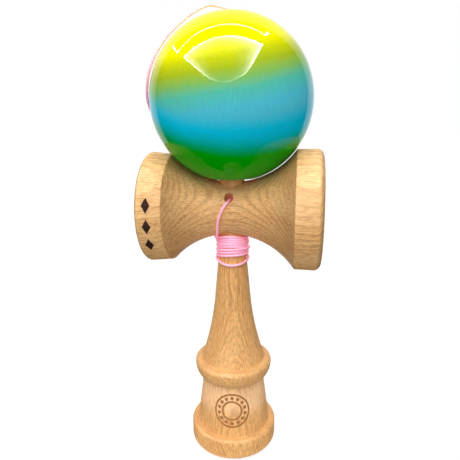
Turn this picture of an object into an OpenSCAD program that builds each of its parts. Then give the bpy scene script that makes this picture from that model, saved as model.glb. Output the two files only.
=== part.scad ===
// Kendama: a turned handle, a cross piece with two cups, and a drilled ball on a string.
// Millimetres. The handle's axis is Z, the base ring stands on z = 0, and the cross piece
// lies along X with its big cup at +X. The string's hole faces -Y.

/* [Ball] */
// Diameter of the ball
ball_d = 60; // [56:0.5:66]
// Clearance between the ball and the saddle that it rests in
ball_gap = 0.3; // [0.2:0.05:0.6]
// Diameter of the hole for the spike
hole_d = 18.4; // [16:0.2:22]
// Bevel at the mouth of that hole
hole_bevel = 0.8; // [0.4:0.1:1.5]
// Diameter of the hole for the string at the top of the ball
top_hole_d = 3.2; // [2.4:0.1:4.5]

/* [Cross piece] */
// Height of the cross piece's axis above the base
axis_h = 102.5; // [95:0.5:112]
// Diameter of the cross piece at its waist
waist_d = 20.6; // [18:0.2:24]
// Diameter at the inner edge of the big cup's band
big_heel_d = 45.8; // [42:0.2:48]
// Diameter of the big cup at its rim
big_rim_d = 46; // [42:0.2:50]
// Width of the big cup's band
big_band_w = 9.8; // [8:0.1:12]
// Rounding of the big cup's rim
big_round = 2.6; // [1:0.1:3]
// Width of the flat lip round the big cup's mouth
big_lip = 1.4; // [0.8:0.1:3]
// Depth of the big cup
big_depth = 8; // [6:0.1:9]
// Diameter at the inner edge of the small cup's band
small_heel_d = 41.6; // [38:0.2:44]
// Diameter of the small cup at its rim
small_rim_d = 43.2; // [40:0.2:46]
// Width of the small cup's band
small_band_w = 9.6; // [8:0.1:12]
// Rounding of the small cup's rim
small_round = 1.5; // [0.5:0.1:3]
// Width of the flat lip round the small cup's mouth
small_lip = 2.1; // [0.8:0.1:3]
// Depth of the small cup
small_depth = 7.6; // [6:0.1:9]
// Height of the string's hole above the cross piece's axis
side_hole_rise = 5.5; // [3:0.1:6]
// Diameter of the string's hole in the cross piece
side_hole_d = 3.4; // [2.6:0.1:4]

/* [Handle] */
// Diameter of the base band
base_d = 36.2; // [32:0.2:42]
// Height of the base band
band_h = 9; // [7:0.1:12]
// Rounding under the base band
base_round = 2.2; // [1:0.1:2.6]
// Rounding on top of the base band
band_round = 1.5; // [0.5:0.1:2]
// Width of the flat ring that the base stands on
base_lip = 1.9; // [1:0.1:3]
// Depth of the base cup
base_depth = 7; // [5.5:0.1:8]
// Width of the flat shelf on top of the base band
shelf_w = 1.25; // [0.5:0.05:2]
// Height of the cone above the base band
cone_h = 21.9; // [16:0.1:26]
// Diameter at the top of that cone
cone_top_d = 25.3; // [22:0.1:28]
// Diameter of the collar
collar_d = 32; // [29:0.2:36]
// Height of the collar's lower swell
collar_low_h = 5.9; // [3:0.1:8]
// Height of the collar's upper swell
collar_up_h = 1.8; // [1:0.1:4]
// Height of the flare above the collar
flare_h = 27.4; // [20:0.1:32]
// Radius of the flare
flare_r = 120; // [100:1:160]
// Half angle of the straight taper above the flare
taper = 5.4; // [4:0.1:6]
// Diameter of the neck below the cross piece
neck_d = 10.6; // [9:0.1:12]
// Length of the neck below the cross piece
neck_l = 5.4; // [4:0.1:8]
// How far below the cross piece its tapered seat begins
seat_lead = 2.4; // [1.5:0.1:3.5]
// Clearance of the cross piece's tapered bore on the seat
seat_gap = 0.04; // [0.02:0.01:0.1]
// Diameter of the handle where it leaves the cross piece
spike_root_d = 9.6; // [8:0.1:10.4]
// Length of the spike above the cross piece
spike_l = 34; // [26:0.5:40]
// Diameter of the spike's blunt tip
tip_d = 5.4; // [4:0.1:7]
// Rounding of the spike's tip
tip_round = 1.6; // [0.5:0.1:1.9]
// Diameter of the string's bore through the handle
cross_bore_d = 1.6; // [1.4:0.1:2.6]

/* [String, bead and knots] */
// Diameter of the string
string_d = 1; // [0.8:0.05:1.2]
// Turns of string round the neck
turns = 9; // [4:1:9]
// Step from one turn to the next
turn_step = 1.44; // [1.42:0.01:1.5]
// Clearance of the turns on the neck
turn_gap = 0.1; // [0.05:0.01:0.2]
// How far each turn lies higher at the front and back than at the sides
turn_sway = 0.8; // [0:0.1:0.9]
// How far below the cross piece the first turn begins
turn_drop = 1.8; // [1.6:0.1:3]
// Diameter of the bead
bead_d = 7; // [6:0.1:8]
// Diameter of the two stopper knots
knot_d = 2.8; // [2.6:0.1:3.2]
// Clearance round the bead, the knots and the string in the bead
swivel_gap = 0.3; // [0.2:0.05:0.5]
// Room between the spike's tip and the knot under the bead
tip_room = 1.2; // [0.8:0.1:2]

/* [Hidden] */
$fn = 96;

// How far a cut runs past the face that it opens
past = 2;

beech = "#dcb27c";
sky = "#4f9fd0";
pink = "#e79bb4";
bone = "#e9dfc8";

// Cross piece: a saddle of the ball's own curve between the two cup bands
waist_r = waist_d / 2;
saddle_r = ball_d / 2 + ball_gap;
saddle_centre_r = waist_r + saddle_r;
function heel_x(heel_d) = sqrt(saddle_r ^ 2 - (saddle_centre_r - heel_d / 2) ^ 2);
big_reach = heel_x(big_heel_d) + big_band_w;
small_reach = heel_x(small_heel_d) + small_band_w;
side_hole_h = axis_h + side_hole_rise;

// Ball, spike, knot and bead, stacked upwards from the top of the waist
waist_foot_h = axis_h - waist_r;
waist_top_h = axis_h + waist_r;
ball_r = ball_d / 2;
ball_h = axis_h + saddle_centre_r;
tip_h = waist_top_h + spike_l;
bead_knot_h = tip_h + tip_room + knot_d / 2;
bead_h = bead_knot_h + knot_d / 2 + swivel_gap + bead_d / 2;
bead_bore_d = string_d + 2 * swivel_gap;
hole_top_h = bead_h + bead_d / 2 + swivel_gap;

// Handle: heights stacked from the base, then the neck and seat set by the cross piece
base_r = base_d / 2;
cone_top_h = band_h + cone_h;
collar_h = cone_top_h + collar_low_h;
collar_top_h = collar_h + collar_up_h;
flare_top_h = collar_top_h + flare_h;
neck_h = waist_foot_h - neck_l;
seat_foot_h = waist_foot_h - seat_lead;
flare_top_r = neck_d / 2 + (neck_h - flare_top_h) * tan(taper);
flare_centre_r = flare_top_r + flare_r * cos(taper);
flare_centre_h = flare_top_h + flare_r * sin(taper);
function flare_at(h) = flare_centre_r - sqrt(flare_r ^ 2 - (h - flare_centre_h) ^ 2);
function taper_at(h) = neck_d / 2 + max(0, neck_h - h) * tan(taper);
function handle_r(h) = h < flare_top_h ? flare_at(h) : taper_at(h);

// The string's bore in the handle is level with the lowest line of the cross piece's hole
cross_bore_h = side_hole_h - side_hole_d / 2 + cross_bore_d / 2;
pocket_d = knot_d + 2 * swivel_gap;
anchor_y = spike_root_d / 2 - swivel_gap - knot_d / 2;
pocket_floor_y = anchor_y - knot_d / 2 - swivel_gap;

// Outlines are lists of [radius, height] points
function arc(centre, size, from, to, steps = 12) = [
    for (i = [0 : steps])
        let (a = from + (to - from) * i / steps)
        centre + [size.x * cos(a), size.y * sin(a)]
];

// Routes of the free stretches of string
lead_route = [
    [0, 2.6, 107], [0, -1, 107], [0, -5, 107], [0, -8, 107], [-0.2, -9.6, 106.9], [-0.7, -10.6, 106.3],
    [-1.5, -11.1, 105.2], [-2.4, -11.2, 103.6], [-3.2, -11.2, 101.6], [-3.8, -10.9, 99.4], [-4.2, -10.1, 97],
    [-4.6, -8.7, 94.5], [-5.2, -6.2, 92.2], [-5.8, -3.4, 91], [-6, -1, 90.4],
];
rise_route = [
    [1, 6.7, 77.9], [2.2, 7, 78.3], [3, 7.9, 79.8], [3.1, 8.9, 82.2], [2.4, 9.9, 86], [0.6, 11, 90.5],
    [-2, 12, 96], [-5.2, 12.7, 101.5], [-8.8, 13.4, 107], [-12.8, 14.6, 112.5], [-17, 15.6, 118],
    [-20.8, 15.5, 122.4], [-24, 14, 126.5],
];
over_route = [
    [-24.2, 13.8, 126.8], [-26.6, 11, 130.3], [-28.4, 7.2, 133.4], [-29.9, 2.8, 136.4], [-30.5, -1.8, 139.7],
    [-30.2, -6, 143.3], [-29.2, -8.7, 147.5], [-28, -9.7, 152], [-26.3, -9.4, 156.4], [-24.1, -8.6, 160.6],
    [-21.3, -7.2, 164.6], [-18.1, -5.6, 168], [-14.7, -3.8, 171.1], [-11.3, -2.1, 173.6], [-8, -0.6, 175.1],
    [-5.1, 0.3, 175], [-2.9, 0.5, 174.5], [-1.3, 0.3, 173.8], [-0.3, 0.1, 172.4], [0, 0, 170.5],
    [0, 0, 160], [0, 0, 150],
];

// Sweeping a round tube along points
function unit(v) = v / norm(v);
function across(v, along) = unit(v - (v * along) * along);
function last(list) = list[len(list) - 1];
function headings(path) = [
    for (i = [0 : len(path) - 1]) unit(path[min(i + 1, len(path) - 1)] - path[max(i - 1, 0)])
];
function carried(along, first) = [
    for (
        i = 0, v = across(first, along[0]);
        i < len(along);
        i = i + 1, v = across(v, along[min(i, len(along) - 1)])
    ) v
];
function between(a, b, c, d, t) =
    0.5 * (2 * b + (c - a) * t + (2 * a - 5 * b + 4 * c - d) * t ^ 2 + (3 * b - 3 * c + d - a) * t ^ 3);
function smooth(path, steps) = [
    for (i = [0 : len(path) - 2], k = [0 : steps - 1])
        between(path[max(i - 1, 0)], path[i], path[i + 1], path[min(i + 2, len(path) - 1)], k / steps),
    last(path),
];
function tube_points(path, d, sides) =
    let (along = headings(path), out = carried(along, [0.3, 0.2, 1]))
    [
        for (i = [0 : len(path) - 1], k = [0 : sides - 1])
            let (a = 360 * k / sides)
            path[i] + d / 2 * (cos(a) * out[i] + sin(a) * cross(along[i], out[i]))
    ];
function tube_faces(rings, sides) = [
    for (i = [0 : rings - 2], k = [0 : sides - 1])
        let (a = i * sides + k, b = i * sides + (k + 1) % sides)
        each [[a, a + sides, b], [b, a + sides, b + sides]],
    for (k = [1 : sides - 2]) [0, k, k + 1],
    for (k = [1 : sides - 2]) let (end = (rings - 1) * sides) [end, end + k + 1, end + k],
];
module tube(path, sides) {
    polyhedron(tube_points(path, string_d, sides), tube_faces(len(path), sides), convexity = 10);
}

// The winding: turns that step down the neck, from its left side to its back
rings_a_turn = 24;
winding_rings = round((turns + 0.25) * rings_a_turn);
function turn_point(i) =
    let (
        a = 180 - 360 * i / rings_a_turn,
        h = waist_foot_h - turn_drop - turn_step * i / rings_a_turn + turn_sway * sin(a) ^ 2,
        r = handle_r(h) + string_d / 2 + turn_gap
    )
    [r * cos(a), r * sin(a), h];
turn_path = [for (i = [0 : winding_rings]) turn_point(i)];
winding_path = [
    turn_path[0] - string_d * unit(turn_path[1] - turn_path[0]),
    each turn_path,
    last(turn_path) + string_d * unit(last(turn_path) - turn_path[winding_rings - 1]),
];
half_turn = rings_a_turn / 2;
winding_gap = min([
    for (i = [0 : winding_rings - half_turn], k = [i + half_turn : winding_rings])
        norm(turn_path[k] - turn_path[i])
]) - string_d;
echo(str("least gap of the winding to itself: ", winding_gap, " mm"));

// A ball-shaped hollow that opens downwards at z = 0
module dish(mouth_r, depth) {
    dish_r = (mouth_r ^ 2 + depth ^ 2) / (2 * depth);
    translate([0, 0, depth - dish_r]) sphere(r = dish_r);
}

// Handle, turned in one piece from the base cup to the spike
module ken_handle() {
    collar_r = collar_d / 2;
    cone_top_r = cone_top_d / 2;
    collar_top_r = flare_at(collar_top_h);
    flare_steps = 24;
    outline = [
        [0, 0],
        each arc([base_r - base_round, base_round], [base_round, base_round], -90, 0),
        each arc([base_r - band_round, band_h - band_round], [band_round, band_round], 0, 90),
        [base_r - band_round - shelf_w, band_h],
        each arc([cone_top_r, collar_h], [collar_r - cone_top_r, collar_low_h], -90, 0, 24),
        each arc([collar_top_r, collar_h], [collar_r - collar_top_r, collar_up_h], 7.5, 90),
        for (i = [1 : flare_steps])
            let (h = collar_top_h + flare_h * i / flare_steps) [flare_at(h), h],
        [neck_d / 2, neck_h],
        [neck_d / 2, seat_foot_h],
        [spike_root_d / 2, waist_top_h],
        each arc([tip_d / 2 - tip_round, tip_h - tip_round], [tip_round, tip_round], 0, 90),
        [0, tip_h],
    ];
    color(beech) difference() {
        rotate_extrude() polygon(outline);
        dish(base_r - base_round - base_lip, base_depth);
        translate([0, 0, cross_bore_h]) rotate([90, 0, 0]) cylinder(d = cross_bore_d, h = neck_d, center = true);
        translate([0, pocket_floor_y, cross_bore_h]) rotate([-90, 0, 0]) cylinder(d = pocket_d, h = neck_d);
    }
}

// Cross piece: one turned blank with a cup in each end, a saddle and a tapered bore
module sarado_cups() {
    big_r = big_rim_d / 2;
    small_r = small_rim_d / 2;
    outline = [
        [0, -small_reach],
        each arc([small_r - small_round, small_round - small_reach], [small_round, small_round], -90, 0),
        [small_heel_d / 2, -heel_x(small_heel_d)],
        [small_heel_d / 2, 0],
        [big_heel_d / 2, 0],
        [big_heel_d / 2, heel_x(big_heel_d)],
        each arc([big_r - big_round, big_reach - big_round], [big_round, big_round], 0, 90),
        [0, big_reach],
    ];
    color(beech) difference() {
        translate([0, 0, axis_h]) rotate([0, 90, 0]) difference() {
            rotate_extrude() polygon(outline);
            rotate_extrude() translate([saddle_centre_r, 0]) circle(r = saddle_r);
            translate([0, 0, -small_reach]) dish(small_r - small_round - small_lip, small_depth);
            translate([0, 0, big_reach]) rotate([180, 0, 0]) dish(big_r - big_round - big_lip, big_depth);
        }
        seat_bore();
        translate([0, 0, side_hole_h]) rotate([90, 0, 0]) cylinder(d = side_hole_d, h = waist_d);
    }
}

// The tapered bore that the handle's seat is pushed into
module seat_bore() {
    run = waist_top_h - seat_foot_h;
    slope = (neck_d - spike_root_d) / 2 / run;
    translate([0, 0, seat_foot_h]) cylinder(
        r1 = neck_d / 2 + seat_gap,
        r2 = spike_root_d / 2 + seat_gap - slope * past,
        h = run + past
    );
}

// Ball with the hole for the spike below and the string's hole above
module tama_ball() {
    mouth_h = ball_h - sqrt(ball_r ^ 2 - (hole_d / 2 + hole_bevel) ^ 2);
    foot_h = ball_h - ball_r - past;
    color(sky) difference() {
        translate([0, 0, ball_h]) sphere(r = ball_r, $fn = 192);
        translate([0, 0, foot_h]) cylinder(d = hole_d, h = hole_top_h - foot_h);
        translate([0, 0, mouth_h - hole_bevel])
            cylinder(d1 = hole_d + 4 * hole_bevel, d2 = hole_d, h = 2 * hole_bevel);
        translate([0, 0, hole_top_h - past]) cylinder(d = top_hole_d, h = ball_r);
    }
}

// Bead that the string runs through, which lets the ball turn without twisting the string
module swivel_bead() {
    color(bone) translate([0, 0, bead_h]) difference() {
        sphere(d = bead_d);
        cylinder(d = bead_bore_d, h = bead_d + past, center = true);
    }
}

// Stopper knot under the bead
module bead_knot() {
    color(pink) translate([0, 0, bead_knot_h]) sphere(d = knot_d, $fn = 32);
}

// Stopper knot in the pocket at the back of the handle, shut in by the cross piece
module anchor_knot() {
    color(pink) translate([0, anchor_y, cross_bore_h]) sphere(d = knot_d, $fn = 32);
}

// String from the anchor knot, out over the lip of its hole and down to the neck
module string_lead() {
    color(pink) tube(lead_route, 8);
}

// String wound round the neck
module string_winding() {
    color(pink) tube(winding_path, 6);
}

// String from the neck up behind the cross piece
module string_rise() {
    color(pink) tube(smooth(rise_route, 2), 8);
}

// String up the ball's left side, over its top and down through the bead
module string_over_ball() {
    color(pink) tube(smooth(over_route, 2), 8);
}

ken_handle();
sarado_cups();
tama_ball();
swivel_bead();
bead_knot();
anchor_knot();
string_lead();
string_winding();
string_rise();
string_over_ball();
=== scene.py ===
"""Dresses the packed kendama: turned beech, a lacquered ball and a fine braided string on a plain stage."""

import math

import bmesh
import bpy
import numpy as np
from mathutils import Matrix, Vector


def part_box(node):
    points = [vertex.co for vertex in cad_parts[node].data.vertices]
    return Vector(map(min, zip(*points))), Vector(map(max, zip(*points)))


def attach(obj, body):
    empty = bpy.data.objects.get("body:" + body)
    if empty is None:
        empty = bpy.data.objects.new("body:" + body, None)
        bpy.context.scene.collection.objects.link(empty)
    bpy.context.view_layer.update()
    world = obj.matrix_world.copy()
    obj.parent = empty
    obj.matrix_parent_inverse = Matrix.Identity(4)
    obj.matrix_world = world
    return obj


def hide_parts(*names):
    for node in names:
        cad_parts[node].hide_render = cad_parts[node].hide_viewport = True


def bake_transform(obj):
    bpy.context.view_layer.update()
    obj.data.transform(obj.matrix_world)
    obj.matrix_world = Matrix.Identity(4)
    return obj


bl_info = {
    "name": "Kendama",
    "version": (1, 0, 0),
    "blender": (4, 5, 0),
    "location": "3D View > Sidebar > Kendama",
    "description": "Builds the looks of a kendama around its packed frame",
    "category": "Object",
}

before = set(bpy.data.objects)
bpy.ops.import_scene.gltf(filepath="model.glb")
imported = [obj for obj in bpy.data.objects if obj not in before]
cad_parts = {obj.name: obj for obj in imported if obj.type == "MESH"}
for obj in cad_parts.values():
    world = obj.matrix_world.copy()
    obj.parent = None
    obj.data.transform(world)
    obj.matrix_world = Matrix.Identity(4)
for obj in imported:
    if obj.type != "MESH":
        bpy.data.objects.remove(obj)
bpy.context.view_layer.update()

MM = 0.001
PER_MM = (1 / MM,) * 3
TINY = 1e-7
# A corner of an outline that turns more than this is eased, and a fold sharper than this keeps its crease
CREASE = math.radians(32)

BALL_LOW, BALL_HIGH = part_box("tama_ball")
BALL_CENTRE = (BALL_LOW + BALL_HIGH) / 2
BALL_R = (BALL_HIGH.x - BALL_LOW.x) / 2
CROSS_LOW, CROSS_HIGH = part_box("sarado_cups")
CROSS_AXIS = (CROSS_LOW.z + CROSS_HIGH.z) / 2
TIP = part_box("ken_handle")[1].z
BEAD_LOW, BEAD_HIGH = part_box("swivel_bead")
BEAD_CENTRE = (BEAD_LOW + BEAD_HIGH) / 2

# Yarns of one hand in the string's braid
YARNS = 6
# Routes of the free stretches of string, in millimetres, as in the part's source
LEAD_ROUTE = [
    (0, 2.6, 107), (0, -1, 107), (0, -5, 107), (0, -8, 107), (-0.2, -9.6, 106.9), (-0.7, -10.6, 106.3),
    (-1.5, -11.1, 105.2), (-2.4, -11.2, 103.6), (-3.2, -11.2, 101.6), (-3.8, -10.9, 99.4), (-4.2, -10.1, 97),
    (-4.6, -8.7, 94.5), (-5.2, -6.2, 92.2), (-5.8, -3.4, 91), (-6, -1, 90.4),
]
RISE_ROUTE = [
    (1, 6.7, 77.9), (2.2, 7, 78.3), (3, 7.9, 79.8), (3.1, 8.9, 82.2), (2.4, 9.9, 86), (0.6, 11, 90.5),
    (-2, 12, 96), (-5.2, 12.7, 101.5), (-8.8, 13.4, 107), (-12.8, 14.6, 112.5), (-17, 15.6, 118),
    (-20.8, 15.5, 122.4), (-24, 14, 126.5),
]
OVER_ROUTE = [
    (-24.2, 13.8, 126.8), (-26.6, 11, 130.3), (-28.4, 7.2, 133.4), (-29.9, 2.8, 136.4), (-30.5, -1.8, 139.7),
    (-30.2, -6, 143.3), (-29.2, -8.7, 147.5), (-28, -9.7, 152), (-26.3, -9.4, 156.4), (-24.1, -8.6, 160.6),
    (-21.3, -7.2, 164.6), (-18.1, -5.6, 168), (-14.7, -3.8, 171.1), (-11.3, -2.1, 173.6), (-8, -0.6, 175.1),
    (-5.1, 0.3, 175), (-2.9, 0.5, 174.5), (-1.3, 0.3, 173.8), (-0.3, 0.1, 172.4), (0, 0, 170.5),
    (0, 0, 160), (0, 0, 150),
]
# The turns round the neck, quarter by quarter: the string's height and how far it stands off the wood, in
# millimetres
LEFT_OF_TURN = [
    (90.4, 0), (90.6, 1), (89.4, 0.45), (88.5, 0), (87.6, 0.4),
    (86.6, 0), (85.6, 0.3), (84.6, 0), (83.5, 0.1), (82.4, 0.2),
]
BACK_OF_TURN = [
    (91.4, 0), (90.4, 0), (89.4, 0), (88.4, 0), (87.4, 0),
    (86.4, 0), (85.4, 0), (84.4, 0), (83.2, 0.1), (77.9, 0.1),
]
RIGHT_OF_TURN = [
    (90.9, 0), (90, 0.3), (89.1, 0.5), (88.2, 0.1), (87.3, 0),
    (86.9, 0.85), (85.8, 0.1), (84.8, 0.2), (82.4, 0.1),
]
FRONT_OF_TURN = [
    (92.3, 0), (91.25, 0), (90.3, 0), (89.35, 0), (88.3, 0),
    (87.15, 0.3), (85.95, 0), (84.75, 0), (80.9, 0.3),
]


def linear(hex_colour):
    """The linear colour of an sRGB hex value, with full alpha."""
    parts = [int(hex_colour[i : i + 2], 16) / 255 for i in (0, 2, 4)]
    return [p / 12.92 if p <= 0.04045 else ((p + 0.055) / 1.055) ** 2.4 for p in parts] + [1.0]


def number(name, description, default, **kind):
    """A number that a user may change."""
    return bpy.props.FloatProperty(name=name, description=description, default=default, **kind)


def angle(name, description, degrees):
    """An angle that a user may change, kept in radians."""
    return number(name, description, math.radians(degrees), subtype="ANGLE")


def size(name, description, millimetres):
    """A length that a user may change, kept in metres."""
    metres = millimetres * MM
    return number(name, description, metres, min=0, precision=5, unit="LENGTH", subtype="DISTANCE")


def colour(name, description, hex_colour):
    """A colour that a user may change."""
    return bpy.props.FloatVectorProperty(
        name=name, description=description, default=linear(hex_colour), size=4, min=0, max=1, subtype="COLOR"
    )


class HandleSizes(bpy.types.PropertyGroup):
    """Sizes of the turned handle."""

    base_d: size("Base", "Diameter of the base band", 36.2)
    band_h: size("Band height", "Height of the base band", 9)
    base_round: size("Foot rounding", "Rounding under the base band", 2.2)
    band_round: size("Band rounding", "Rounding on top of the base band", 1.5)
    base_lip: size("Standing ring", "Width of the flat ring that the base stands on", 1.9)
    base_depth: size("Base cup", "Depth of the cup under the base", 7)
    shelf_w: size("Shelf", "Width of the flat shelf on top of the base band", 1.25)
    cone_top_h: size("Cone top", "Height at the top of the cone", 30.9)
    cone_top_d: size("Cone top width", "Diameter at the top of the cone", 25.3)
    collar_d: size("Collar", "Diameter of the collar", 32)
    collar_h: size("Collar height", "Height of the collar's widest line", 36.8)
    collar_top_h: size("Collar top", "Height at the top of the collar", 38.6)
    flare_top_h: size("Flare top", "Height where the flare turns into a straight taper", 66)
    flare_r: size("Flare radius", "Radius of the flare", 120)
    neck_d: size("Neck", "Diameter of the neck", 10.6)
    neck_h: size("Neck height", "Height where the neck begins", 86.8)
    seat_h: size("Seat", "Height where the cross piece's tapered seat begins", 89.8)
    spike_root_d: size("Spike root", "Diameter where the spike leaves the cross piece", 9.6)
    spike_root_h: size("Spike root height", "Height where the spike leaves the cross piece", 112.8)
    tip_d: size("Tip", "Diameter of the spike's blunt tip", 5.4)
    tip_round: size("Tip rounding", "Rounding of the spike's tip", 1.6)
    cross_bore_d: size("String bore", "Diameter of the string's bore through the handle", 1.6)
    cross_bore_h: size("String bore height", "Height of that bore", 107.1)
    taper: angle("Taper", "Half angle of the straight taper", 5.4)


class CrossSizes(bpy.types.PropertyGroup):
    """Sizes of the turned cross piece."""

    waist_d: size("Waist", "Diameter at the waist", 20.6)
    saddle_r: size("Saddle", "Radius of the saddle's curve", 30.3)
    big_heel_d: size("Big heel", "Diameter at the inner edge of the big cup's band", 45.8)
    big_rim_d: size("Big rim", "Diameter of the big cup at its rim", 46)
    big_band_w: size("Big band", "Width of the big cup's band", 9.8)
    big_round: size("Big rounding", "Rounding of the big cup's rim", 2.6)
    big_lip: size("Big lip", "Width of the flat lip round the big cup's mouth", 1.4)
    big_depth: size("Big depth", "Depth of the big cup", 8)
    small_heel_d: size("Small heel", "Diameter at the inner edge of the small cup's band", 41.6)
    small_rim_d: size("Small rim", "Diameter of the small cup at its rim", 43.2)
    small_band_w: size("Small band", "Width of the small cup's band", 9.6)
    small_round: size("Small rounding", "Rounding of the small cup's rim", 1.5)
    small_lip: size("Small lip", "Width of the flat lip round the small cup's mouth", 2.1)
    small_depth: size("Small depth", "Depth of the small cup", 7.6)
    hole_h: size("String hole height", "Height of the string's hole", 108)
    hole_d: size("String hole", "Diameter of the string's hole", 3.4)
    bore_gap: size("Bore clearance", "Clearance of the bore on the handle's seat", 0.04)


class BallSizes(bpy.types.PropertyGroup):
    """Sizes of the ball and of the bead inside it."""

    centre_h: size("Ball height", "Height of the ball's centre", 143.1)
    hole_d: size("Spike hole", "Diameter of the hole for the spike", 18.4)
    hole_bevel: size("Hole bevel", "Bevel at the mouth of that hole", 0.8)
    hole_top_h: size("Hole top", "Height of the end of that hole", 158.4)
    top_hole_d: size("String hole", "Diameter of the string's hole at the top", 3.2)
    bead_bore_d: size("Bead bore", "Diameter of the bore through the bead", 1.6)


class StringSizes(bpy.types.PropertyGroup):
    """Sizes of the string and its knots."""

    string_d: size("String", "Diameter of the string", 1)
    yarn_pitch: size("Yarn pitch", "Length of one crossing of the braid", 0.9)
    yarn_rise: size("Yarn rise", "How far the yarns stand out of the braid", 0.03)
    ring_step: size("Ring step", "Distance between the rings of the mesh", 0.15)
    knot_strand_d: size("Knot strand", "Diameter of the string where a knot pulls it tight", 0.85)


class Finish(bpy.types.PropertyGroup):
    """Colours of the wood, paint, string and bead."""

    handle_pale: colour("Handle", "Pale early wood of the handle", "F8C37E")
    cross_pale: colour("Cross piece", "Pale early wood of the cross piece", "FCCD8C")
    layer: colour("Growth layer", "Late wood at the end of each growth layer", "B97A3B")
    warm: colour("Warm patches", "Broad warmer patches in the wood", "E6A358")
    # Multiplied in where the form cuts across the fibres: end grain, and on the cross piece also painted
    # shade
    end_wood_and_shade: colour("End grain", "What is left of the wood's colour on end grain and in painted shade", "D6D3CE")
    # Painted light and sheen that make the handle's cone paler round the ornament
    painted_sheen: colour("Painted sheen", "Painted light and sheen added to the wood round the ornament", "7A756C")
    fleck: colour("Ray flecks", "Short flecks of the wood's rays", "9A6430")
    burnt: colour("Burnt ornament", "Wood burnt by a hot stamp", "A4672F")
    burnt_deep: colour("Deep burnt ornament", "Wood burnt nearly black", "2C0B00")
    top_paint: colour("Top paint", "Yellow sprayed on top of the ball", "FAF500")
    middle_paint: colour("Middle paint", "Blue round the middle of the ball", "08C8EA")
    low_paint: colour("Low paint", "Green under the ball", "00AD00")
    # Pale enough that the yarns' crowns carry a painted highlight besides the yarn's pink
    cord: colour("String", "Pale pink of the yarns' crowns, partly painted highlight", "FFE2FA")
    cord_crease_shade: colour("String crease shade", "Deep pink painted as shade between the yarns", "FF3C88")
    bead: colour("Bead", "Moulded bead inside the ball", "E9DFC8")


class Stage(bpy.types.PropertyGroup):
    """Camera and light."""

    camera_place: bpy.props.FloatVectorProperty(
        name="Camera", description="Place of the camera", default=(0.02505, -0.1655, 0.13736),
        subtype="TRANSLATION",
    )
    camera_turn: angle("Turn", "Turn of the camera to the left", 8.942)
    camera_pitch: angle("Pitch", "Tilt of the camera below the horizon", 14.66)
    camera_roll: angle("Roll", "Roll of the camera to the right", 0.47)
    lens: number("Lens", "Focal length on a 36 mm sensor, in millimetres", 34.054)
    ambient_high: number("High light", "Strength of the even light from above and in front", 1.05, min=0)
    ambient_low: number("Low light", "Strength of the even light from below and behind", 0.18, min=0)
    key_power: number("Key", "Power of the soft key lamp", 3.2, unit="POWER")
    fill_power: number("Fill", "Power of the weak lamp in front", 0.9, unit="POWER")
    back_power: number("Back", "Power of the lamp behind", 3.6, unit="POWER")
    strip_strength: number("Strips", "Strength of the strip lights that the lacquer reflects", 130, min=0)


def add(tree, kind, inputs=None, out=0, stops=(), **settings):
    """Adds one node and gives one of its outputs, or the node itself where out is None.

    inputs holds its sockets' values or links, stops a ramp's colours, and settings the node's own values.
    """
    node = tree.nodes.new("ShaderNode" + kind)
    for name, value in settings.items():
        setattr(node, name, value)
    for socket, value in (inputs or {}).items():
        if isinstance(value, bpy.types.NodeSocket):
            tree.links.new(value, node.inputs[socket])
        else:
            node.inputs[socket].default_value = value
    for i, (place, shade) in enumerate(stops):
        stop = node.color_ramp.elements[i] if i < 2 else node.color_ramp.elements.new(place)
        stop.position = place
        stop.color = shade
    return node if out is None else node.outputs[out]


def new_material(name):
    """An empty node material and its tree."""
    material = bpy.data.materials.new(name)
    material.use_nodes = True
    material.node_tree.nodes.clear()
    return material, material.node_tree


# Sockets of the Mix node's two colours and of its result
MIX_A, MIX_B, MIX_OUT = 6, 7, 2
# Sockets 1 and 2 of the Map Range node are the range that goes in, and 3 and 4 the range that comes out.
# Where nothing is set, each runs from 0 to 1


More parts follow.
